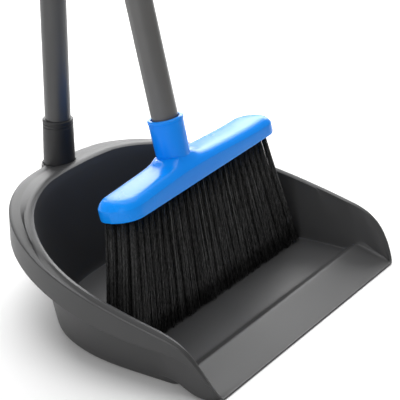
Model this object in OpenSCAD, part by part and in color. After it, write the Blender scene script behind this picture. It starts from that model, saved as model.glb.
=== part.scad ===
// Long-handled dust pan with its broom standing in it.
// Origin: on the ground under the middle of the pan. +X across the pan, the lip
// points to -Y, the upright handle stands at the rear (+Y), +Z up. Millimetres.

/* [Pan] */
// Half of the rim's width at its widest place
rim_half = 152; // [140:1:165]
// Reach of the rim behind its widest place
rim_reach = 177; // [165:1:190]
// Y of the rim's widest place
wide_y = -54; // [-60:1:-45]
// Half of the straight part of the front lip
lip_half = 135; // [125:1:138]
// Y of the front lip
lip_y = -134.5; // [-140:0.5:-130]
// Height of the rim above the origin
rim_mid_h = 63.6; // [58:0.2:70]
// Rise of the rim for each millimetre towards the rear
rim_rise = 0.212; // [0.18:0.002:0.24]
// Thickness of the moulded walls and of the floor
wall = 2.6; // [2:0.1:3.2]
// Height of the skirt that hangs from the rim's outer edge
skirt_h = 22.5; // [16:0.5:26]
// Height of the crest behind the ramp
crest_h = 10.2; // [8:0.2:13]
// Y of the crest
crest_y = -99.8; // [-104:0.2:-96]

/* [Pan handle] */
// Y of the upright handle's axis
handle_y = 117.6; // [116:0.2:119]
// Outer diameter of both handle tubes
tube_d = 22; // [20:0.5:25]
// Wall of both handle tubes
tube_wall = 0.6; // [0.5:0.1:1.5]
// Height of the top of the pan's tube
pan_tube_top = 800; // [760:5:840]
// Length of both grips
grip_len = 125; // [90:5:125]
// Outer diameter of both grips
grip_d = 26; // [24:0.2:26.2]
// Height of the storage clip's middle
clip_z = 662; // [655:1:670]

/* [Broom] */
// Length of the broom head
head_len = 222; // [200:1:240]
// Width of the broom head
head_w = 40; // [36:1:44]
// Height of the head's side at its ends
head_end_h = 16; // [13:0.5:18]
// Height of the head's side beside the socket
head_mid_h = 19.5; // [18:0.5:22]
// Distance from the socket's axis to the middle of the head
head_offset = 18.5; // [0:0.5:20]
// Height of the socket's rim above the head's underside
socket_h = 55; // [46:0.5:58]
// Lean of the broom towards the rear, in degrees
lean_back = 12.6; // [12:0.1:13]
// Lean of the broom towards -X, in degrees
lean_side = 2.05; // [1.8:0.05:2.2]
// Length of the broom's tube
broom_tube_len = 702; // [660:2:740]
// Outward spread of the bristle tips at the end nearer the socket
flare_near = 30; // [10:1:32]
// Outward spread of the bristle tips at the other end
flare_far = 18; // [10:1:19]

/* [Hidden] */

tube_r = tube_d / 2;
tube_in_r = tube_r - tube_wall;
gap = 0.02;
$fn = 72;

// ---------------------------------------------------------------- pan outline
// The pan is one skin of rings. A ring runs round the pan from the middle of the
// rear, down one side, round the lip corner and to the middle of the lip, and is
// then mirrored. Every ring has the same stations, so that they join as a grid.
rear_steps = 28;
side_steps = 16;
corner_steps = 10;
front_steps = 5;
last = rear_steps + side_steps + corner_steps + front_steps;
squareness = 2.37;
inner_lift = 2.3;
least_slope = 2;

floor_z = 3;
under_z = 4.5;
corner_x = 14;
corner_y = 25;
drop_start = -70;

function mix(a, b, t) = a + (b - a) * t;
function clamp01(t) = max(0, min(1, t));
function ease(t) = clamp01(t) * clamp01(t) * (3 - 2 * clamp01(t));
function softmax(a, b, r) = (a + b + sqrt((a - b) * (a - b) + 4 * r * r)) / 2;

// One half of a closed outline: half width, reach behind wide_y, y of its front
// and the two half axes of its front corner.
function outline(half, reach, front, cx, cy, front_half) = [
    for (i = [0 : last])
        i <= rear_steps ? let (a = 90 * (1 - i / rear_steps))
            [half * pow(cos(a), 2 / squareness),
             wide_y + reach * pow(sin(a), 2 / squareness)] :
        i <= rear_steps + side_steps ?
            let (t = (i - rear_steps) / side_steps, y = mix(wide_y, front + cy, t))
            [mix(half, front_half + cx, t * t), y] :
        i <= rear_steps + side_steps + corner_steps ?
            let (a = 90 * (i - rear_steps - side_steps) / corner_steps)
            [front_half + cx * cos(a), front + cy * (1 - sin(a))] :
            let (t = (i - rear_steps - side_steps - corner_steps) / front_steps)
            [front_half * (1 - t * (0.4 + 0.6 * t)), front]
];

rim_line = outline(rim_half, rim_reach, lip_y, corner_x, corner_y, lip_half);
foot_line = outline(141, 130, -97, 9, 9, 131.5);
floor_half = 137.5;
floor_line = outline(floor_half, 126, -87.5, 7, 7, floor_half - 7);

// Inward unit normal of the rim's outline at a station
function inward(i) =
    i == 0 ? [0, -1] :
    i >= last - front_steps ? [0, 1] :
    let (d = rim_line[i + 1] - rim_line[i - 1], l = norm(d))
    [d[1] / l, -d[0] / l];

// Height of the rim's outer edge above the ground, by y
function rim_z(y) =
    let (line = min(rim_mid_h + rim_rise * y, 88.4),
         t = clamp01((drop_start - y) / (drop_start - lip_y)))
    1 + (line - 1) * pow(1 - pow(t, 4.7), 1.25);

// Width of the rim, by y: a wide flange behind, a narrow bead at the sides
side_w = 8.6;
lip_w = 1.4;
function rim_w(y) = y > -85 ?
    side_w + 20 * pow(clamp01((y + 20) / 145), 1.6) :
    mix(lip_w, side_w, clamp01((y - lip_y) / (-85 - lip_y)));

// Share of the rear flange's form, 1 at the rear and 0 along the sides
function rear_share(y) = ease((y - 15) / 60);

// Share of the front's form, 0 along the sides and 1 from the corner on
function front_share(i) = ease((i - rear_steps - 4) / (side_steps - 4));

// Share of the lip's form, 0 up to the corner and 1 across the lip
function lip_share(i) = ease((i - rear_steps - side_steps - 3) / (corner_steps - 3));

// Height of the ramp, crest and floor, by y
function ramp_z(y) = lookup(y, [
    [lip_y, 1.0], [lip_y + 1.3, 1.5], [crest_y - 1.8, crest_h - 0.3],
    [crest_y, crest_h], [crest_y + 1.8, crest_h - 0.5],
    [crest_y + 9.6, floor_z + 0.5], [crest_y + 12.3, floor_z],
]);

// Depth of the skirt below the rim's outer edge, by y
function skirt_drop(y) =
    max(0.6, skirt_h * (1 - pow(clamp01((30 - y) / 164.5), 2.6)));

// Share of its full height that the rim's moulding keeps as it narrows, by y
function moulding(y) = min(1, rim_w(y) / side_w, (skirt_drop(y) - 0.4) / 3.4);

// --------------------------------------------------------------- pan's rings
rim_count = 17;

// A ring of the rim, the kth from the inside of the skirt over the rim's top: its
// offset from the rim's outer edge and its height from it, both by y. Across the
// lip the rings close round a thin rounded edge.
function rim_ring(k, off, dz) =
    let (turn = 180 * k / (rim_count - 1),
         lip_off = lip_w * (1 - sin(turn)),
         lip_dz = -0.9 + 0.7 * (1 - cos(turn)))
    [for (i = [0 : last])
        let (y = rim_line[i][1], g = lip_share(i),
             p = rim_line[i] + mix(off(y), lip_off, g) * inward(i))
        [p[0], p[1], rim_z(y) + mix(dz(y), lip_dz, g)]
    ];

// Line where the rim meets the inner wall
function edge_point(i) = rim_line[i] + rim_w(rim_line[i][1]) * inward(i);

// Line where the outer wall meets the underside of the rim
function wall_top(i) =
    let (o = max(1.4, rim_w(rim_line[i][1]) - wall))
    rim_line[i] + mix(o, 2.8, lip_share(i)) * inward(i);

// A ring of the outer wall, from the foot (0) to the underside of the rim (1).
// side and front are the shares of the way along the side and across the front,
// inset moves the ring in from the foot, and low is its height over the foot.
function outer_ring(side, front, inset, low) = [
    for (i = [0 : last])
        let (f = front_share(i),
             p = mix(foot_line[i] + inset * inward(i), wall_top(i), mix(side, front, f)),
             z_side = mix(low, max(rim_z(rim_line[i][1]) - under_z, 0.2), side),
             z_front = low < 1 ? low : max(0.1, ramp_z(min(p[1], crest_y)) - wall - 0.4))
        [p[0], p[1], mix(z_side, z_front, f)]
];

// Half width of the rim's inner edge, by y, on the straight side and the corner
function side_half(y) =
    let (yc = lip_y + corner_y, t = clamp01((wide_y - y) / (wide_y - yc)))
    (y > yc ? mix(rim_half, lip_half + corner_x, t * t) :
        lip_half + corner_x * sqrt(max(0, 1 - pow((yc - y) / corner_y, 2))))
    - rim_w(y);

// Run of the inner wall from the rim's inner edge to its foot, by y
function side_run(y) = max(side_half(y) - floor_half, 0.1 * (rim_z(y) - floor_z));

// Height of the inner wall in the front half of the pan, at a point
function side_wall_z(x, y) =
    let (top = rim_z(y) - 1.4)
    top - (side_half(y) - x) * max(least_slope, (top - floor_z) / side_run(y));

// A ring of the inside. At the rear and the sides it lies a share of the way down
// the wall, and across the front it lies at front_y with corners of the radius r.
function inner_ring(share, front_y, r) =
    let (yc = front_y + r, foot = max(1, share),
         xc = side_half(yc) - foot * side_run(yc) - r)
    [for (i = [0 : last])
        let (t = clamp01((i - rear_steps) / side_steps),
             a = 90 * clamp01((i - rear_steps - side_steps) / corner_steps),
             across = clamp01((i - last + front_steps) / front_steps),
             y = mix(wide_y, yc, t),
             x = side_half(y) - mix(share, foot, t) * side_run(y),
             p = i <= rear_steps ? mix(edge_point(i), floor_line[i], share) :
                 a == 0 ? [x, y] :
                 across == 0 ? [xc + r * cos(a), yc - r * sin(a)] :
                 [xc * (1 - across * (0.4 + 0.6 * across)), front_y],
             wall_z = i <= rear_steps ?
                 mix(rim_z(rim_line[i][1]) - 1.4, floor_z, share) :
                 side_wall_z(p[0], p[1]),
             soft = mix(0.9, 2.4, ease((-84 - p[1]) / 14)) * min(1, share * 8))
        [p[0], p[1], softmax(ramp_z(p[1]), wall_z, soft)]
    ];

// The innermost ring, laid flat as the edge of the floor
function floor_ring(share, front_y, r) =
    [for (p = inner_ring(share, front_y, r)) [p[0], p[1], floor_z]];

band_out = function (y) mix(1.6, 8.2, rear_share(y)) * min(1, rim_w(y) / side_w);
band_in = function (y) mix(5.4, 7.8, rear_share(y)) * min(1, rim_w(y) / side_w);
lift = function (y) inner_lift * rear_share(y);
shoulder = function (y) -mix(2.0, 0.2, rear_share(y)) * moulding(y);
valley = function (y) -mix(2.2, 0.3, rear_share(y)) * moulding(y);
roll = function (y) mix(1.3, 2.9, rear_share(y)) * moulding(y);
skirt_in = function (y) min(2.4, rim_w(y) - wall - 0.6 > 0.8 ? rim_w(y) - wall - 0.6 : 0.8);
skirt_gap = function (y)
    -mix(under_z + 0.1, skirt_drop(y) + 0.3, ease((-82 - y) / 14));

pan_rings = [
    outer_ring(0, 0, 7, 0),
    outer_ring(0, 0.03, 3, 0.9),
    outer_ring(0, 0.09, 0.8, 3),
    outer_ring(0.02, 0.13, 0, 6),
    outer_ring(0.25, 0.3, 0, 6),
    outer_ring(0.5, 0.5, 0, 6),
    outer_ring(0.75, 0.75, 0, 6),
    outer_ring(1, 1, 0, 6),
    rim_ring(0, skirt_in, skirt_gap),
    rim_ring(1, function (y) skirt_in(y) - 0.1, function (y) -skirt_drop(y)),
    rim_ring(2, function (y) 0.3, function (y) -skirt_drop(y)),
    rim_ring(3, function (y) 0, function (y) 0.3 - skirt_drop(y)),
    rim_ring(4, function (y) 0, function (y) -mix(skirt_drop(y), 3 * moulding(y), 0.6)),
    rim_ring(5, function (y) 0, function (y) (shoulder(y) - 1.8 * moulding(y)) * 0.8),
    rim_ring(6, function (y) 0.14 * band_out(y), function (y) shoulder(y) - 0.5 * moulding(y)),
    rim_ring(7, function (y) 0.4 * band_out(y), function (y) shoulder(y) - 0.15 * moulding(y)),
    rim_ring(8, function (y) 0.7 * band_out(y), shoulder),
    rim_ring(9, function (y) 0.97 * band_out(y), function (y) shoulder(y) - 0.1 * moulding(y)),
    rim_ring(10, function (y) band_out(y) + 0.05 * rim_w(y), valley),
    rim_ring(11, function (y) 0.95 * rim_w(y) - band_in(y),
        function (y) 0.85 * lift(y) - 1.7 * moulding(y) * (1 - rear_share(y))),
    rim_ring(12, function (y) rim_w(y) - 0.88 * band_in(y),
        function (y) lift(y) - 0.6 * moulding(y) * (1 - rear_share(y))),
    rim_ring(13, function (y) rim_w(y) - 0.68 * band_in(y), function (y) lift(y) + 0.1),
    rim_ring(14, function (y) rim_w(y) - 0.42 * band_in(y), function (y) lift(y) - 0.05 * roll(y)),
    rim_ring(15, function (y) rim_w(y) - 0.16 * band_in(y), function (y) lift(y) - 0.4 * roll(y)),
    rim_ring(16, function (y) rim_w(y), function (y) 0.4 * lift(y) - roll(y)),
    inner_ring(0.05, -132.4, 2),
    inner_ring(0.12, -129, 3),
    inner_ring(0.2, -123, 4),
    inner_ring(0.3, -116, 4.5),
    inner_ring(0.42, -109, 4.5),
    inner_ring(0.55, -103.8, 4.5),
    inner_ring(0.67, -101.4, 4.5),
    inner_ring(0.78, -99.8, 4.5),
    inner_ring(0.87, -98, 4.5),
    inner_ring(0.93, -94.5, 4.5),
    inner_ring(0.98, -91, 4.5),
    inner_ring(1.05, -89.2, 4.5),
    inner_ring(1.15, -88, 5),
    floor_ring(1.4, -86, 6),
];

// The whole loop of a ring: one half, then the mirrored half back to the start
function loop(half) = concat(
    half,
    [for (i = [last - 1 : -1 : 1]) [-half[i][0], half[i][1], half[i][2]]]
);

module skin(rings) {
    count = len(rings[0]);
    top = len(rings) - 1;
    points = [for (r = rings) each r];
    faces = concat(
        [[for (i = [count - 1 : -1 : 0]) i]],
        [for (k = [0 : top - 1], i = [0 : count - 1])
            let (j = (i + 1) % count)
            [k * count + i, k * count + j, (k + 1) * count + j, (k + 1) * count + i]],
        [[for (i = [0 : count - 1]) top * count + i]]
    );
    polyhedron(points, faces, convexity = 6);
}

module pan_shell() {
    skin([for (r = pan_rings) loop(r)]);
}

// ------------------------------------------------------------------- the pan
boss_r = 16.4;
boss_top_r = 15.4;
boss_low = 24;
boss_shoulder = 76;
boss_top = 87;
spigot_r = 12.6;
collar_low = 84.6;
collar_r = 13.6;
sleeve_top = 127;
sleeve_low = 34;
tube_low = 50;
plug_len = 34;
rivet_r = 1.6;

// Rib between the back of the bowl and the handle's boss
module boss_rib() {
    translate([-1.5, 0, 0])
        rotate([90, 0, 90])
            linear_extrude(3)
                polygon([[89.4, 44], [101, 84], [108, 84], [108, 30], [103, 30]]);
}

module pan_body() {
    color([0.27, 0.27, 0.28])
        difference() {
            union() {
                pan_shell();
                translate([0, handle_y, boss_low])
                    cylinder(r = boss_r, h = boss_shoulder - boss_low);
                translate([0, handle_y, boss_shoulder])
                    cylinder(r1 = boss_r, r2 = boss_top_r, h = boss_top - boss_shoulder);
                boss_rib();
            }
            translate([0, handle_y, sleeve_low - gap])
                cylinder(r = spigot_r + gap, h = 80);
            translate([0, handle_y, collar_low - gap])
                cylinder(r = collar_r + 0.7, h = 20);
        }
}

// ---------------------------------------------------------------- pan handle
module pan_sleeve() {
    color([0.17, 0.17, 0.18])
        translate([0, handle_y, 0])
            difference() {
                rotate_extrude()
                    polygon([
                        [0, sleeve_low], [spigot_r - 1.5, sleeve_low],
                        [spigot_r, sleeve_low + 1.5], [spigot_r, collar_low],
                        [collar_r, collar_low], [collar_r, collar_low + 3],
                        [13.05, sleeve_top - 6.6], [12.7, sleeve_top - 6.2],
                        [12.7, sleeve_top - 5.4], [13.05, sleeve_top - 5],
                        [13.05, sleeve_top - 3.8], [12.75, sleeve_top - 3.4],
                        [12.75, sleeve_top - 2.8], [13.1, sleeve_top - 2.4],
                        [13.1, sleeve_top - 0.6], [12.5, sleeve_top],
                        [0, sleeve_top],
                    ]);
                translate([0, 0, tube_low - gap])
                    cylinder(r = tube_r + gap, h = 100);
            }
}

// Cross pins that hold a plug in the foot of a tube, at two heights
module cross_pins(low, r) {
    for (k = [0, 1])
        translate([0, 0, low + 9 + 12 * k])
            rotate([90, 0, 90 * k])
                cylinder(r = r, h = tube_d - 0.1, center = true);
}

module tube(low, high) {
    difference() {
        translate([0, 0, low])
            cylinder(r = tube_r, h = high - low);
        translate([0, 0, low - 1])
            cylinder(r = tube_in_r, h = high - low + 2);
        cross_pins(low, rivet_r + gap);
    }
}

module plug(low) {
    difference() {
        translate([0, 0, low])
            cylinder(r = tube_in_r - gap, h = plug_len);
        cross_pins(low, rivet_r + gap);
    }
}

screw_r = 1.7;

module pan_tube() {
    color([0.33, 0.33, 0.34])
        difference() {
            translate([0, handle_y, 0])
                tube(tube_low, pan_tube_top);
            translate([0, handle_y, clip_z])
                rotate([0, 90, 0])
                    cylinder(r = screw_r + gap, h = 20);
        }
}

module pan_tube_plug() {
    color([0.2, 0.2, 0.2])
        translate([0, handle_y, 0])
            plug(tube_low);
}

module pan_plug_rivets() {
    color([0.75, 0.75, 0.77])
        translate([0, handle_y, 0])
            intersection() {
                cross_pins(tube_low, rivet_r);
                cylinder(r = tube_r - 0.05, h = 200);
            }
}

grooves = 7;

// A grip over the top of a tube: a plain sleeve with a row of shallow grooves
module grip(high) {
    low = high - grip_len;
    r = grip_d / 2;
    pitch = (grip_len - 50) / (grooves - 1);
    translate([0, 0, low])
        difference() {
            rotate_extrude()
                polygon(concat(
                    [[0, 0], [r - 1.6, 0], [r - 0.5, 0.6], [r, 2]],
                    [for (k = [0 : grooves - 1], p = [
                        [r, 22], [r - 0.9, 23], [r - 0.9, 25], [r, 26]
                    ]) [p[0], p[1] + k * pitch]],
                    [[r, grip_len - 1], [r - 0.4, grip_len], [0, grip_len]]
                ));
            translate([0, 0, -1])
                cylinder(r = tube_r + gap, h = grip_len + 2);
        }
}

eye_r = 4.5;
eye_z = 20;
eye_half = 10;
eye_t = 7;

// A cap plugged into the top of a tube, with an eye to hang it by
module hang_cap(high) {
    r = grip_d / 2;
    translate([0, 0, high])
        difference() {
            union() {
                translate([0, 0, -22])
                    cylinder(r = tube_in_r - gap, h = 22.5);
                rotate_extrude()
                    polygon([
                        [0, 0], [r - 0.4, 0], [r, 0.5], [r - 0.6, 3], [r - 2.4, 5.6],
                        [r - 5, 7.2], [0, 8],
                    ]);
                rotate([90, 0, 0])
                    linear_extrude(eye_t, center = true)
                        union() {
                            translate([-eye_half, 3])
                                square([2 * eye_half, eye_z - 3]);
                            translate([0, eye_z])
                                circle(r = eye_half);
                        }
            }
            translate([0, 0, eye_z])
                rotate([90, 0, 0])
                    cylinder(r = eye_r, h = 30, center = true);
        }
}

module pan_grip() {
    color([0.12, 0.12, 0.13])
        translate([0, handle_y, 0])
            grip(pan_tube_top);
}

module pan_hang_cap() {
    color([0.12, 0.12, 0.13])
        translate([0, handle_y, 0])
            hang_cap(pan_tube_top);
}

// --------------------------------------------------------------- broom frame
// The broom is drawn upright about its own axis, with 0 at the underside of the
// head where the handle's axis meets it, then leaned into its place.
broom_base = [-5.6, -9, 98.6];

module broom_place() {
    translate(broom_base)
        rotate([-lean_back, -lean_side, 0])
            children();
}

// A point of the upright broom, moved as broom_place() moves it
function broom_point(p) =
    let (y = p[1] * cos(lean_back) + p[2] * sin(lean_back),
         z = p[2] * cos(lean_back) - p[1] * sin(lean_back))
    broom_base + [
        p[0] * cos(lean_side) - z * sin(lean_side), y,
        p[0] * sin(lean_side) + z * cos(lean_side)
    ];

// Rise of a step along each of the leaned broom's own axes
rise_x = sin(lean_side);
rise_y = -sin(lean_back) * cos(lean_side);
rise_z = cos(lean_back) * cos(lean_side);

// --------------------------------------------------------------- storage clip
clip_h = 22;
clip_r = 14.4;
mouth_r = tube_r + 0.4;
arm_len = 18;
clip_s = (clip_z - broom_base[2]) / rise_z;

module storage_clip() {
    color([0.12, 0.12, 0.13])
        difference() {
            union() {
                translate([0, handle_y, clip_z - clip_h / 2])
                    cylinder(r = clip_r, h = clip_h);
                broom_place()
                    translate([0, 0, clip_s - clip_h / 2]) {
                        cylinder(r = clip_r, h = clip_h);
                        translate([-clip_r, -arm_len, 0])
                            cube([2 * clip_r, arm_len, clip_h]);
                    }
                translate([-24, handle_y - 6, clip_z - clip_h / 2 + 3])
                    cube([24, 12, clip_h - 6]);
            }
            broom_place()
                translate([0, 0, clip_s - 40]) {
                    cylinder(r = mouth_r, h = 80);
                    translate([-mouth_r, -40, 0])
                        cube([2 * mouth_r, 40, 80]);
                }
            translate([0, handle_y, clip_z - 40])
                cylinder(r = tube_r + gap, h = 80);
            translate([0, handle_y, clip_z])
                rotate([0, 90, 0])
                    cylinder(r = screw_r + gap, h = 20);
        }
}

module clip_screw() {
    color([0.75, 0.75, 0.77])
        translate([0, handle_y, clip_z])
            rotate([0, 90, 0]) {
                translate([0, 0, tube_in_r - 3])
                    cylinder(r = screw_r, h = clip_r - tube_in_r + 3);
                translate([0, 0, clip_r])
                    difference() {
                        cylinder(r1 = 3.4, r2 = 2.6, h = 2);
                        translate([-0.4, -2, 1.1])
                            cube([0.8, 4, 2]);
                        translate([-2, -0.4, 1.1])
                            cube([4, 0.8, 2]);
                    }
            }
}

// ---------------------------------------------------------------- broom head
corner_r = 17;
corner_steps_head = 10;
long_steps = 28;
short_steps = 2;
end_bulge = 0.8;
socket_low_r = 13.8;
socket_top_r = 14.7;

// One quarter's stations: up the end, round the corner, then along the side
function head_quarter(inset) =
    let (hx = head_len / 2 - inset, hy = head_w / 2 - inset, r = max(1.2, corner_r - inset))
    concat(
        [for (k = [0 : short_steps - 1])
            [hx + end_bulge * (1 - k / short_steps), (hy - r) * k / short_steps]],
        [for (k = [0 : corner_steps_head]) let (a = 90 * k / corner_steps_head)
            [hx - r + r * cos(a), hy - r + r * sin(a)]],
        [for (k = [1 : long_steps]) [(hx - r) * (1 - k / long_steps), hy]]
    );

function head_outline(inset) =
    let (q = head_quarter(inset), n = len(q))
    concat(
        q,
        [for (k = [n - 2 : -1 : 0]) [-q[k][0], q[k][1]]],
        [for (k = [1 : n - 1]) [-q[k][0], -q[k][1]]],
        [for (k = [n - 2 : -1 : 1]) [q[k][0], -q[k][1]]]
    );

// Height of the head's side, by the distance from the socket along the head
function head_side_z(x) =
    head_end_h + (head_mid_h - head_end_h) * (1 - ease(abs(x) / 105));

// Swell of the head's top into the socket, long along the head
function socket_swell(x, y) =
    let (d = max(0, norm([x / 1.4, y]) - socket_low_r))
    4.5 * exp(-d / 3.2);

// A ring of the head, at an inset, as a height above the underside (low) or a
// height above the edge of the top (crown)
function head_ring(inset, low, crown) = [
    for (p = head_outline(inset))
        let (x = p[0] + head_offset, fade = min(1, inset / 7))
        [x, p[1], low >= 0 ? low : head_side_z(x) + crown + fade * socket_swell(x, p[1])]
];

head_rings = [
    head_ring(1.4, 0, 0),
    head_ring(0.4, 0.4, 0),
    head_ring(0, 1.6, 0),
    head_ring(0, 6, 0),
    head_ring(0, -1, -6.6),
    head_ring(0.25, -1, -6.2),
    head_ring(1.3, -1, -4.4),
    head_ring(2.6, -1, -2.7),
    head_ring(4.2, -1, -1.3),
    head_ring(6, -1, -0.4),
    head_ring(8, -1, 0),
    head_ring(10.5, -1, 0.25),
    head_ring(13, -1, 0.4),
    head_ring(15.4, -1, 0.5),
    head_ring(17, -1, 0.55),
];

// Closed form of stacked rings, leaned into the broom's place, whose top is
// closed by strips across it
module stacked(rings) {
    n = len(rings[0]);
    top = len(rings) - 1;
    points = [for (r = rings, p = r) broom_point(p)];
    half = n / 2;
    faces = concat(
        [[for (i = [0 : n - 1]) i]],
        [for (k = [0 : top - 1], i = [0 : n - 1])
            let (j = (i + 1) % n)
            [k * n + i, (k + 1) * n + i, (k + 1) * n + j, k * n + j]],
        [for (i = [0 : half - 1])
            let (a = top * n + i, b = a + 1, c = top * n + (n - i - 1) % n, d = top * n + (n - i) % n)
            i == 0 ? [a, c, b] :
            i == half - 1 ? [a, d, b] : [a, d, c, b]]
    );
    polyhedron(points, faces, convexity = 4);
}

mouth_wide_r = 12;
mouth_deep = 2.5;
tube_seat = 24;
thread_r = 7.5;
thread_low = 6;

module broom_head() {
    color([0.05, 0.42, 0.98])
        difference() {
            union() {
                stacked(head_rings);
                broom_place()
                    rotate_extrude()
                        polygon([
                            [0, 4], [socket_low_r, 4], [socket_low_r, head_mid_h + 4],
                            [socket_top_r - 0.35, socket_h - 3.2],
                            [socket_top_r + 0.1, socket_h - 2.6],
                            [socket_top_r + 0.1, socket_h - 0.6],
                            [socket_top_r - 0.6, socket_h], [0, socket_h],
                        ]);
            }
            broom_place()
                translate([0, 0, tube_seat - gap])
                    cylinder(r = tube_r + gap, h = 60);
            broom_place()
                translate([0, 0, socket_h - mouth_deep])
                    cylinder(r = mouth_wide_r, h = 20);
            broom_place()
                translate([0, 0, thread_low - gap])
                    cylinder(r = thread_r + gap, h = 30);
        }
}

broom_top = tube_seat + broom_tube_len;

module broom_tube() {
    color([0.42, 0.41, 0.40])
        broom_place()
            tube(tube_seat, broom_top);
}

// Plug in the broom tube's foot, with the spigot that screws into the head
module broom_thread_plug() {
    color([0.2, 0.2, 0.2])
        broom_place()
            union() {
                plug(tube_seat);
                translate([0, 0, thread_low])
                    cylinder(r = thread_r, h = tube_seat - thread_low + 1);
            }
}

module broom_plug_rivets() {
    color([0.75, 0.75, 0.77])
        broom_place()
            intersection() {
                cross_pins(tube_seat, rivet_r);
                cylinder(r = tube_r - 0.05, h = 200);
            }
}

module broom_grip() {
    color([0.12, 0.12, 0.13])
        broom_place()
            grip(broom_top);
}

module broom_hang_cap() {
    color([0.12, 0.12, 0.13])
        broom_place()
            hang_cap(broom_top);
}

// ------------------------------------------------------------------ bristles
rows = 5;
row_pitch = 6;
row_t = 5;
tip_gap = 0.3;
root_near = -(head_len / 2 - head_offset) + 5;
root_far = head_len / 2 + head_offset - 11.5;

// Depth below the head at which a row's tips meet the pan's floor
function tip_depth(x, y) =
    (broom_base[2] + rise_x * x + rise_y * y - floor_z - tip_gap) / rise_z;

// One row of bristles as a plain flared slab, whose tips lie along the floor
module bristle_row(k) {
    y = (k - (rows + 1) / 2) * row_pitch;
    low_y = y + row_t / 2;
    tip_near = root_near - flare_near;
    tip_far = root_far + flare_far;
    color([0.04, 0.04, 0.04])
        broom_place()
            translate([0, y + row_t / 2, 0])
                rotate([90, 0, 0])
                    linear_extrude(row_t)
                        polygon([
                            [root_near, 0], [root_far, 0],
                            [tip_far, -tip_depth(tip_far, low_y)],
                            [tip_near, -tip_depth(tip_near, low_y)],
                        ]);
}

module bristle_row_1() { bristle_row(1); }
module bristle_row_2() { bristle_row(2); }
module bristle_row_3() { bristle_row(3); }
module bristle_row_4() { bristle_row(4); }
module bristle_row_5() { bristle_row(5); }

pan_body();
pan_sleeve();
pan_tube();
pan_tube_plug();
pan_plug_rivets();
pan_grip();
pan_hang_cap();
storage_clip();
clip_screw();
broom_head();
broom_tube();
broom_thread_plug();
broom_plug_rivets();
broom_grip();
broom_hang_cap();
bristle_row_1();
bristle_row_2();
bristle_row_3();
bristle_row_4();
bristle_row_5();
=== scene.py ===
import math
import random

import bpy
from mathutils import Matrix, Vector


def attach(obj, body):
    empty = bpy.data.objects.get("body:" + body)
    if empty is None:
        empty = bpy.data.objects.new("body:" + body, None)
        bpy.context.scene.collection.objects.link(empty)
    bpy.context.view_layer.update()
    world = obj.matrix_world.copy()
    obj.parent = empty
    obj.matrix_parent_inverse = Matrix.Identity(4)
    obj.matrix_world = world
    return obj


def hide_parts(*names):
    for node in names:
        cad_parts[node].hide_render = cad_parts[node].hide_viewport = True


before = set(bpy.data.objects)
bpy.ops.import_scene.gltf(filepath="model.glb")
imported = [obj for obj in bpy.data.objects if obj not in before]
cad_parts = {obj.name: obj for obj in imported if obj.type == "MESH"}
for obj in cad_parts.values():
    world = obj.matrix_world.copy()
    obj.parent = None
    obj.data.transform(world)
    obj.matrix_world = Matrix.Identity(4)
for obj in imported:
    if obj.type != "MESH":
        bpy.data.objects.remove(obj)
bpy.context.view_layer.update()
scene = bpy.context.scene
MM = 0.001
ROOM_SEEN, ROOM_LIGHT = 1.0, 0.30
FLOOR_SIZE = 12


# ------------------------------------------------------------------ camera, light
def set_camera():
    """Camera over the left shoulder of the pan, with a long lens."""
    data = bpy.data.cameras.new("studio_camera")
    data.lens = 135.3
    data.sensor_width = 36
    camera = bpy.data.objects.new("studio_camera", data)
    scene.collection.objects.link(camera)
    right = Vector((0.542, -0.841, -0.002)).normalized()
    look = Vector((0.774, 0.499, -0.390)).normalized()
    up = right.cross(look)
    turn = Matrix((right, up, -look)).transposed().to_4x4()
    camera.matrix_world = Matrix.Translation((-0.9414, -0.6329, 0.5591)) @ turn
    scene.camera = camera


def soft_box(name, place, aim, size, power):
    """A rectangular area light that is aimed at a place and hidden from the camera."""
    data = bpy.data.lights.new(name, "AREA")
    data.shape = "RECTANGLE"
    data.size, data.size_y = size
    data.energy = power
    light = bpy.data.objects.new(name, data)
    light.location = place
    light.rotation_euler = (Vector(aim) - Vector(place)).to_track_quat("-Z", "Y").to_euler()
    light.visible_camera = False
    scene.collection.objects.link(light)


def set_lights():
    """A white room to look at, with most of the light from large soft boxes."""
    world = bpy.data.worlds.new("white_room")
    world.use_nodes = True
    tree = world.node_tree
    back = tree.nodes["Background"]
    back.inputs["Color"].default_value = (1, 1, 1, 1)
    path = tree.nodes.new("ShaderNodeLightPath")
    strength = tree.nodes.new("ShaderNodeMapRange")
    strength.inputs["To Min"].default_value = ROOM_LIGHT
    strength.inputs["To Max"].default_value = ROOM_SEEN
    tree.links.new(path.outputs["Is Camera Ray"], strength.inputs["Value"])
    tree.links.new(strength.outputs[0], back.inputs["Strength"])
    scene.world = world
    scene.view_settings.view_transform = "Standard"
    soft_box("overhead_box", (0.5, 0.6, 2.0), (0, 0, 0.1), (2.0, 2.0), 40)
    soft_box("left_box", (-1.9, -0.1, 0.9), (0, 0, 0.1), (1.0, 1.6), 12)
    soft_box("sheen_box", (1.45, 0.95, 0.85), (0, 0, 0.05), (2.0, 1.1), 36)


# ------------------------------------------------------------------ node helpers
def new_group(name, inputs, outputs):
    """A node group with number sockets. Returns it, its input node and its output node."""
    group = bpy.data.node_groups.new(name, "ShaderNodeTree")
    for label, value in inputs:
        made = group.interface.new_socket(
            name=label, in_out="INPUT", socket_type="NodeSocketFloat")
        made.default_value = value
    for label in outputs:
        group.interface.new_socket(
            name=label, in_out="OUTPUT", socket_type="NodeSocketFloat")
    return group, group.nodes.new("NodeGroupInput"), group.nodes.new("NodeGroupOutput")


def math_node(tree, operation, first, second=None):
    """A Math node whose inputs are numbers or sockets. Returns its output."""
    node = tree.nodes.new("ShaderNodeMath")
    node.operation = operation
    for slot, value in zip(node.inputs, (first, second)):
        if value is None:
            continue
        if isinstance(value, (int, float)):
            slot.default_value = value
        else:
            tree.links.new(value, slot)
    return node.outputs[0]


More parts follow.
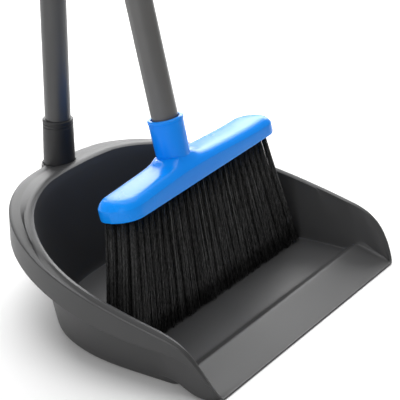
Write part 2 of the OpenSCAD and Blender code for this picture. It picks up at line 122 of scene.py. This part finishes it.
def noise_node(tree, vector, scale, detail=2.0, rough=0.5):
    """Noise at a scale that is a number or a socket. Returns its value."""
    node = tree.nodes.new("ShaderNodeTexNoise")
    node.inputs["Detail"].default_value = detail
    node.inputs["Roughness"].default_value = rough
    tree.links.new(vector, node.inputs["Vector"])
    if isinstance(scale, (int, float)):
        node.inputs["Scale"].default_value = scale
    else:
        tree.links.new(scale, node.inputs["Scale"])
    return node.outputs[0]


def object_place(tree, stretch=(1, 1, 1), turn=(0, 0, 0)):
    """Object coordinates, stretched and turned. Returns the vector."""
    coords = tree.nodes.new("ShaderNodeTexCoord")
    mapping = tree.nodes.new("ShaderNodeMapping")
    mapping.inputs["Scale"].default_value = stretch
    mapping.inputs["Rotation"].default_value = turn
    tree.links.new(coords.outputs["Object"], mapping.inputs["Vector"])
    return mapping.outputs[0]


def range_node(tree, value, low, high, to_low=0.0, to_high=1.0):
    """A Map Range node from low and high, each a number or a socket. Returns its result."""
    node = tree.nodes.new("ShaderNodeMapRange")
    tree.links.new(value, node.inputs["Value"])
    for label, given in (("From Min", low), ("From Max", high)):
        if isinstance(given, (int, float)):
            node.inputs[label].default_value = given
        else:
            tree.links.new(given, node.inputs[label])
    node.inputs["To Min"].default_value = to_low
    node.inputs["To Max"].default_value = to_high
    return node.outputs[0]


# ---------------------------------------------------------------- shared effects
def make_mould_grain():
    """Fine grain of a moulded or painted skin, and slow clouds in its tone."""
    group, inside, out = new_group(
        "mould_grain", [("Grain Scale", 900.0), ("Cloud Scale", 9.0)], ["Height", "Cloud"])
    place = object_place(group)
    fine = noise_node(group, place, inside.outputs["Grain Scale"], 3.0, 0.6)
    cloud = noise_node(group, place, inside.outputs["Cloud Scale"], 3.0, 0.55)
    group.links.new(fine, out.inputs["Height"])
    group.links.new(range_node(group, cloud, 0.3, 0.7), out.inputs["Cloud"])
    return group


def make_rub_marks():
    """Faint dull rubs and short scratches from handling and sweeping."""
    group, inside, out = new_group(
        "rub_marks", [("Scale", 60.0), ("Cover", 0.35)], ["Mask"])
    across = object_place(group, (1, 9, 9), (0.2, 0.1, 0.7))
    along = object_place(group, (9, 1, 6), (0.1, -0.3, 0.25))
    lines_a = noise_node(group, across, inside.outputs["Scale"], 4.0, 0.65)
    lines_b = noise_node(group, along, inside.outputs["Scale"], 4.0, 0.65)
    patch = noise_node(group, object_place(group), 13.0, 2.0, 0.5)
    edge = math_node(group, "SUBTRACT", 0.78, math_node(
        group, "MULTIPLY", inside.outputs["Cover"], 0.25))
    top = math_node(group, "ADD", edge, 0.07)
    marks = math_node(group, "MAXIMUM", range_node(group, lines_a, edge, top),
                      range_node(group, lines_b, edge, top))
    patches = range_node(group, patch, 0.42, 0.62)
    group.links.new(math_node(group, "MULTIPLY", marks, patches), out.inputs["Mask"])
    return group


def make_edge_wear():
    """Pale, broken wear along sharp edges."""
    group, inside, out = new_group(
        "edge_wear", [("Sharpness", 0.56), ("Break Up", 220.0)], ["Mask"])
    geometry = group.nodes.new("ShaderNodeNewGeometry")
    high = math_node(group, "ADD", inside.outputs["Sharpness"], 0.08)
    edges = range_node(group, geometry.outputs["Pointiness"],
                       inside.outputs["Sharpness"], high)
    broken = noise_node(group, object_place(group), inside.outputs["Break Up"], 3.0, 0.6)
    group.links.new(math_node(
        group, "MULTIPLY", edges, range_node(group, broken, 0.4, 0.62)), out.inputs["Mask"])
    return group


def make_drawn_lines():
    """Fine lines along a drawn or brushed surface."""
    group, inside, out = new_group(
        "drawn_lines", [("Scale", 700.0), ("Stretch", 0.02)], ["Height"])
    coords = group.nodes.new("ShaderNodeTexCoord")
    parts = group.nodes.new("ShaderNodeSeparateXYZ")
    joined = group.nodes.new("ShaderNodeCombineXYZ")
    group.links.new(coords.outputs["Object"], parts.inputs[0])
    group.links.new(parts.outputs[0], joined.inputs[0])
    group.links.new(parts.outputs[1], joined.inputs[1])
    group.links.new(math_node(
        group, "MULTIPLY", parts.outputs[2], inside.outputs["Stretch"]), joined.inputs[2])
    lines = noise_node(group, joined.outputs[0], inside.outputs["Scale"], 2.0, 0.5)
    group.links.new(lines, out.inputs["Height"])
    return group


mould_grain = make_mould_grain()
rub_marks = make_rub_marks()
edge_wear = make_edge_wear()
drawn_lines = make_drawn_lines()


# --------------------------------------------------------------------- materials
COLOUR_A, COLOUR_B, COLOUR_OUT = 6, 7, 2
RUB_STRENGTH, EDGE_STRENGTH, WORN_ROUGHNESS = 0.35, 0.5, 0.25
CLOUD_ROUGHNESS = 0.04
PAINT_RUB_STRENGTH, PAINT_CLOUD_ROUGHNESS, PAINT_LINES = 0.3, 0.05, 0.4


def new_material(name, base, rough, specular=0.5, metallic=0.0, coat=0.0):
    """A Principled material. Returns it, its node tree and its shader."""
    material = bpy.data.materials.new(name)
    material.use_nodes = True
    shader = material.node_tree.nodes["Principled BSDF"]
    shader.inputs["Base Color"].default_value = (*base, 1)
    shader.inputs["Roughness"].default_value = rough
    shader.inputs["Specular IOR Level"].default_value = specular
    shader.inputs["Metallic"].default_value = metallic
    shader.inputs["Coat Weight"].default_value = coat
    shader.inputs["Coat Roughness"].default_value = 0.2
    return material, material.node_tree, shader


def placed_group(tree, group, **values):
    """A shared effect in a material, with its own values for the effect's inputs."""
    node = tree.nodes.new("ShaderNodeGroup")
    node.node_tree = group
    for label, value in values.items():
        node.inputs[label.replace("_", " ")].default_value = value
    return node


def mix_colour(tree, share, first, second):
    """A mix of two colours, each a tuple or a socket. Returns the colour."""
    node = tree.nodes.new("ShaderNodeMix")
    node.data_type = "RGBA"
    tree.links.new(share, node.inputs["Factor"])
    for slot, value in zip(node.inputs[COLOUR_A:COLOUR_B + 1], (first, second)):
        if isinstance(value, tuple):
            slot.default_value = (*value, 1)
        else:
            tree.links.new(value, slot)
    return node.outputs[COLOUR_OUT]


def add_bump(tree, shader, height, strength, distance):
    bump = tree.nodes.new("ShaderNodeBump")
    bump.inputs["Strength"].default_value = strength
    bump.inputs["Distance"].default_value = distance
    tree.links.new(height, bump.inputs["Height"])
    tree.links.new(bump.outputs[0], shader.inputs["Normal"])


def moulded(name, dark, light, worn, rough, specular, grain, depth):
    """Moulded plastic: clouded tone, fine grain, light rubs and worn edges."""
    material, tree, shader = new_material(name, dark, rough, specular)
    skin = placed_group(tree, mould_grain, Grain_Scale=grain, Cloud_Scale=11.0)
    rubs = placed_group(tree, rub_marks, Scale=55.0, Cover=0.3)
    wear = placed_group(tree, edge_wear, Sharpness=0.57, Break_Up=260.0)
    tone = mix_colour(tree, skin.outputs["Cloud"], dark, light)
    marks = math_node(tree, "MULTIPLY", rubs.outputs["Mask"], RUB_STRENGTH)
    edges = math_node(tree, "MULTIPLY", wear.outputs["Mask"], EDGE_STRENGTH)
    both = math_node(tree, "MAXIMUM", marks, edges)
    tree.links.new(mix_colour(tree, both, tone, worn), shader.inputs["Base Color"])
    sheen = range_node(tree, skin.outputs["Cloud"], 0.0, 1.0,
                       rough - CLOUD_ROUGHNESS, rough + CLOUD_ROUGHNESS)
    rougher = math_node(tree, "MULTIPLY", both, WORN_ROUGHNESS)
    tree.links.new(math_node(tree, "ADD", sheen, rougher), shader.inputs["Roughness"])
    add_bump(tree, shader, skin.outputs["Height"], depth, 0.0002)
    return material


def painted(name, dark, light, rough):
    """Sprayed paint on a drawn tube: slight orange peel over fine draw lines."""
    material, tree, shader = new_material(name, dark, rough, coat=0.15)
    skin = placed_group(tree, mould_grain, Grain_Scale=420.0, Cloud_Scale=14.0)
    lines = placed_group(tree, drawn_lines, Scale=900.0, Stretch=0.015)
    rubs = placed_group(tree, rub_marks, Scale=70.0, Cover=0.25)
    tone = mix_colour(tree, skin.outputs["Cloud"], dark, light)
    marks = math_node(tree, "MULTIPLY", rubs.outputs["Mask"], PAINT_RUB_STRENGTH)
    pale = tuple(min(1, 1.8 * c) for c in light)
    tree.links.new(mix_colour(tree, marks, tone, pale), shader.inputs["Base Color"])
    tree.links.new(range_node(tree, skin.outputs["Cloud"], 0.0, 1.0,
                              rough - PAINT_CLOUD_ROUGHNESS, rough + PAINT_CLOUD_ROUGHNESS),
                   shader.inputs["Roughness"])
    draw_lines = math_node(tree, "MULTIPLY", lines.outputs["Height"], PAINT_LINES)
    relief = math_node(tree, "ADD", draw_lines, skin.outputs["Height"])
    add_bump(tree, shader, relief, 0.18, 0.0002)
    return material


def filament_black(name):
    """Straight black filaments whose tone changes from strand to strand. The paler strands
    are partly painted glints, and the roughness and bump follow the same strands.
    """
    material, tree, shader = new_material(name, (0.004, 0.004, 0.0045), 0.42)
    place = object_place(tree, (1, 1, 0.03), (0.22, 0.036, 0))
    strands = noise_node(tree, place, 1500.0, 2.0, 0.5)
    share = range_node(tree, strands, 0.42, 0.66)
    # Near-black to pale grey by strand: partly random tone, and the pale end is a painted
    # glint standing in for light caught on single strands.
    tree.links.new(mix_colour(tree, share, (0.003, 0.003, 0.003), (0.085, 0.085, 0.085)),
                   shader.inputs["Base Color"])
    tree.links.new(range_node(tree, strands, 0.35, 0.65, 0.55, 0.34),
                   shader.inputs["Roughness"])
    add_bump(tree, shader, strands, 0.1, 0.0001)
    return material


def plated_steel(name):
    """Bright zinc-plated steel with fine lines from forming."""
    material, tree, shader = new_material(name, (0.6, 0.6, 0.62), 0.32, metallic=1.0)
    skin = placed_group(tree, mould_grain, Grain_Scale=1400.0, Cloud_Scale=160.0)
    lines = placed_group(tree, drawn_lines, Scale=2400.0, Stretch=0.05)
    tree.links.new(mix_colour(tree, skin.outputs["Cloud"], (0.52, 0.52, 0.54),
                              (0.68, 0.67, 0.64)), shader.inputs["Base Color"])
    tree.links.new(range_node(tree, lines.outputs["Height"], 0.3, 0.7, 0.24, 0.42),
                   shader.inputs["Roughness"])
    add_bump(tree, shader, lines.outputs["Height"], 0.2, 0.0001)
    return material


pan_plastic = moulded("pan_plastic", (0.040, 0.040, 0.041), (0.050, 0.050, 0.051),
                      (0.13, 0.13, 0.13), 0.46, 0.45, grain=1100.0, depth=0.15)
sleeve_plastic = moulded("sleeve_plastic", (0.016, 0.016, 0.017), (0.022, 0.022, 0.023),
                         (0.06, 0.06, 0.06), 0.45, 0.45, grain=1000.0, depth=0.3)
head_plastic = moulded("head_plastic", (0.001, 0.265, 0.96), (0.002, 0.295, 1.0),
                       (0.05, 0.36, 1.0), 0.25, 0.22, grain=900.0, depth=0.04)
clip_plastic = moulded("clip_plastic", (0.014, 0.014, 0.015), (0.020, 0.020, 0.021),
                       (0.07, 0.07, 0.07), 0.5, 0.45, grain=700.0, depth=0.5)
grip_rubber = moulded("grip_rubber", (0.012, 0.012, 0.013), (0.019, 0.019, 0.020),
                      (0.05, 0.05, 0.05), 0.62, 0.35, grain=520.0, depth=0.9)
pan_tube_paint = painted("pan_tube_paint", (0.052, 0.052, 0.052), (0.062, 0.062, 0.062), 0.36)
broom_tube_paint = painted("broom_tube_paint", (0.098, 0.096, 0.094), (0.114, 0.112, 0.109),
                           0.38)
bristle_black = filament_black("bristle_black")
steel = plated_steel("plated_steel")


# ------------------------------------------------------------------ piece helpers
WELD = 0.004 * MM
WALL_FRONT, WALL_BACK, WALL_FOOT = -128 * MM, -50 * MM, 14 * MM
FACING_IN = 0.6


def alone(piece):
    """Deselects everything, then selects one piece and makes it the active one."""
    if bpy.context.mode != "OBJECT":
        bpy.ops.object.mode_set(mode="OBJECT")
    bpy.ops.object.select_all(action="DESELECT")
    piece.select_set(True)
    bpy.context.view_layer.objects.active = piece


def dress(piece, material):
    piece.data.materials.clear()
    piece.data.materials.append(material)


def apply_all(piece):
    alone(piece)
    for modifier in list(piece.modifiers):
        bpy.ops.object.modifier_apply(modifier=modifier.name)


def merged_copy(node, name):
    """A copy of a CAD node as one joined mesh, with its flat faces made whole."""
    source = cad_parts[node]
    piece = source.copy()
    piece.data = source.data.copy()
    piece.name = name
    piece.data.name = name
    piece.parent = None
    for key in list(piece.keys()):
        del piece[key]
    scene.collection.objects.link(piece)
    alone(piece)
    if piece.data.has_custom_normals:
        bpy.ops.mesh.customdata_custom_splitnormals_clear()
    bpy.ops.object.mode_set(mode="EDIT")
    bpy.ops.mesh.select_all(action="SELECT")
    bpy.ops.mesh.remove_doubles(threshold=WELD)
    bpy.ops.object.mode_set(mode="OBJECT")
    return piece


def ease_front_walls(piece):
    """Evens out the inner walls beside the ramp, where they turn into the lip's corners."""
    mesh = piece.data
    left_alone = set()
    for face in mesh.polygons:
        middle = face.center
        inward = face.normal.x * (1 if middle.x < 0 else -1)
        beside_ramp = WALL_FRONT < middle.y < WALL_BACK and middle.z > WALL_FOOT
        if inward <= FACING_IN or not beside_ramp:
            left_alone.update(face.vertices)
    bpy.ops.object.mode_set(mode="EDIT")
    bpy.ops.mesh.select_mode(type="VERT")
    bpy.ops.mesh.select_all(action="DESELECT")
    bpy.ops.object.mode_set(mode="OBJECT")
    for vertex in mesh.vertices:
        vertex.select = vertex.index not in left_alone
    bpy.ops.object.mode_set(mode="EDIT")
    bpy.ops.mesh.vertices_smooth(factor=0.5, repeat=12)
    bpy.ops.object.mode_set(mode="OBJECT")


def finished_copy(node, name, body, material, bevel=0.0, angle=32, shape=None):
    """A merged copy that stands for its CAD node, with small rounds on its edges where a
    bevel width is given.
    """
    piece = merged_copy(node, name)
    if shape:
        shape(piece)
    if bevel:
        bpy.ops.object.mode_set(mode="EDIT")
        bpy.ops.mesh.select_all(action="SELECT")
        bpy.ops.mesh.dissolve_limited(angle_limit=math.radians(0.4))
        bpy.ops.object.mode_set(mode="OBJECT")
        rounds = piece.modifiers.new("rounds", "BEVEL")
        rounds.width = bevel
        rounds.segments = 2
        rounds.limit_method = "ANGLE"
        rounds.angle_limit = math.radians(angle)
        apply_all(piece)
    alone(piece)
    bpy.ops.object.shade_smooth_by_angle(angle=math.radians(angle))
    even = piece.modifiers.new("even_normals", "WEIGHTED_NORMAL")
    even.keep_sharp = True
    even.weight = 60
    apply_all(piece)
    dress(piece, material)
    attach(piece, body)
    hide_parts(node)


# --------------------------------------------------------------------- bristles
LEAN_BACK, LEAN_SIDE = math.radians(12.6), math.radians(2.05)
BROOM_BASE = Vector((-5.6, -9.0, 98.6)) * MM
BROOM_TURN = Matrix.Rotation(-LEAN_SIDE, 4, "Y") @ Matrix.Rotation(-LEAN_BACK, 4, "X")
ROWS, TUFTS, STRANDS = 5, 25, 36
BUNDLES = 6
GOLDEN_ANGLE = 2.39996
HOLE_MARGIN, TIP_MARGIN = 3.2 * MM, 5.2 * MM
ROOT_DEPTH = 2.0 * MM
ROW_PITCH = 6 * MM
ROOT_NEAR, ROOT_FAR = -87.5 * MM, 118 * MM
TIP_NEAR, TIP_FAR = -117.5 * MM, 136 * MM
FLOOR_TOP = 3.3 * MM


def make_filament():
    """One straight filament, a metre long down from 0, in four lengths."""
    bpy.ops.object.select_all(action="DESELECT")
    bpy.ops.mesh.primitive_cylinder_add(
        vertices=3, radius=1.0, depth=1.0, end_fill_type="TRIFAN", location=(0, 0, -0.5))
    filament = bpy.context.object
    alone(filament)
    bpy.ops.object.transform_apply(location=True, rotation=True, scale=True)
    for height in (-0.3, -0.6, -0.84):
        bpy.ops.object.mode_set(mode="EDIT")
        bpy.ops.mesh.select_all(action="SELECT")
        bpy.ops.mesh.bisect(plane_co=(0, 0, height), plane_no=(0, 0, 1))
        bpy.ops.object.mode_set(mode="OBJECT")
    return filament


def make_tuft(filament, seed):
    """A bundle of filaments in a round hole. x and y run from -1 to 1 across the hole,
    and z from 0 at the root down to -1. Each filament drifts aside towards its tip."""
    random.seed(seed)
    copies = []
    for k in range(STRANDS):
        ring = math.sqrt((k + 0.5) / STRANDS)
        angle = GOLDEN_ANGLE * k + random.uniform(-0.25, 0.25)
        copy = filament.copy()
        copy.data = filament.data.copy()
        scene.collection.objects.link(copy)
        thin = random.uniform(0.085, 0.125)
        spin = Matrix.Rotation(random.uniform(0, 2.1), 4, "Z")
        place = Matrix.Translation((ring * math.cos(angle), ring * math.sin(angle), 0))
        copy.data.transform(place @ spin @ Matrix.Diagonal((thin, thin, 1, 1)))
        short = random.uniform(0.972, 1.0)
        drift = Vector((random.gauss(0, 0.30), random.gauss(0, 0.22)))
        for vertex in copy.data.vertices:
            t = -vertex.co.z
            vertex.co.x += drift.x * t ** 2
            vertex.co.y += drift.y * t ** 2
            vertex.co.z *= short
        copies.append(copy)
    bpy.ops.object.select_all(action="DESELECT")
    for copy in copies:
        copy.select_set(True)
    bpy.context.view_layer.objects.active = copies[0]
    bpy.ops.object.join()
    return copies[0]


def plant_tuft(tuft, row, place, seed):
    """A copy of a tuft, flared from its hole in the head down to the pan's floor."""
    random.seed(seed)
    copy = tuft.copy()
    copy.data = tuft.data.copy()
    scene.collection.objects.link(copy)
    root_x = ROOT_NEAR + HOLE_MARGIN + (ROOT_FAR - ROOT_NEAR - 2 * HOLE_MARGIN) * place
    tip_x = TIP_NEAR + TIP_MARGIN + (TIP_FAR - TIP_NEAR - 2 * TIP_MARGIN) * place
    tip_x += random.gauss(0, 0.7) * MM
    row_y = (row - (ROWS + 1) / 2) * ROW_PITCH
    lean_y = random.gauss(0, 0.35) * MM
    turn = BROOM_TURN.to_3x3()
    up = turn @ Vector((0, 0, 1))
    for vertex in copy.data.vertices:
        x, y, z = vertex.co
        t = -z
        wide_x = (2.3 + 3.1 * t ** 1.1) * MM
        wide_y = (2.1 + 0.7 * t ** 1.5) * MM
        local_x = root_x + (tip_x - root_x) * t ** 1.06 + x * wide_x
        local_y = row_y + lean_y * t + y * wide_y
        flat = BROOM_BASE + turn @ Vector((local_x, local_y, 0))
        length = (flat.z - FLOOR_TOP) / up.z
        vertex.co = flat - up * (length * t) + up * (1 - t) * ROOT_DEPTH
    copy.data.update()
    return copy


def make_bristles():
    """Rows of tufts across the head, every second row set over by a quarter pitch."""
    filament = make_filament()
    bundles = [make_tuft(filament, 40 + k) for k in range(BUNDLES)]
    for row in range(1, ROWS + 1):
        planted = []
        for k in range(TUFTS):
            seed = 1000 * row + k
            random.seed(seed)
            tuft = bundles[random.randrange(BUNDLES)]
            place = (k + 0.25 * (row % 2)) / (TUFTS - 0.5)
            planted.append(plant_tuft(tuft, row, place, seed))
        bpy.ops.object.select_all(action="DESELECT")
        for tuft in planted:
            tuft.select_set(True)
        bpy.context.view_layer.objects.active = planted[0]
        bpy.ops.object.join()
        piece = planted[0]
        piece.name = piece.data.name = "bristle_tufts_row_%d" % row
        alone(piece)
        bpy.ops.object.shade_smooth()
        dress(piece, bristle_black)
        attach(piece, "broom")
        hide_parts("bristle_row_%d" % row)
    for spare in bundles + [filament]:
        bpy.data.objects.remove(spare)


# ------------------------------------------------------------------------ floor
def make_floor():
    """A wide white floor that belongs to the stage and not to the object."""
    bpy.ops.object.select_all(action="DESELECT")
    bpy.ops.mesh.primitive_plane_add(size=FLOOR_SIZE, location=(0, 0, 0))
    floor = bpy.context.object
    floor.name = floor.data.name = "studio_floor"
    material, tree, shader = new_material("studio_floor", (0.93, 0.93, 0.93), 0.9, 0.1)
    skin = placed_group(tree, mould_grain, Grain_Scale=300.0, Cloud_Scale=2.0)
    tree.links.new(mix_colour(tree, skin.outputs["Cloud"], (0.96, 0.96, 0.96),
                              (0.98, 0.98, 0.98)), shader.inputs["Base Color"])
    dress(floor, material)


set_camera()
set_lights()
make_floor()
finished_copy("pan_body", "pan_shell", "pan", pan_plastic,
              angle=34, shape=ease_front_walls)
finished_copy("pan_sleeve", "handle_sleeve", "pan", sleeve_plastic)
finished_copy("pan_tube", "pan_handle_tube", "pan", pan_tube_paint)
finished_copy("pan_grip", "pan_handle_grip", "pan", grip_rubber)
finished_copy("pan_hang_cap", "pan_handle_cap", "pan", clip_plastic, 0.4 * MM)
finished_copy("storage_clip", "broom_clip", "pan", clip_plastic, 0.5 * MM)
finished_copy("clip_screw", "clip_screw_head", "pan", steel)
finished_copy("broom_head", "broom_block", "broom", head_plastic,
              angle=34)
finished_copy("broom_tube", "broom_handle_tube", "broom", broom_tube_paint)
finished_copy("broom_grip", "broom_handle_grip", "broom", grip_rubber)
finished_copy("broom_hang_cap", "broom_handle_cap", "broom", clip_plastic,
              0.4 * MM)
make_bristles()
for node, material in (("pan_tube_plug", clip_plastic), ("pan_plug_rivets", steel),
                       ("broom_thread_plug", clip_plastic), ("broom_plug_rivets", steel)):
    dress(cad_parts[node], material)
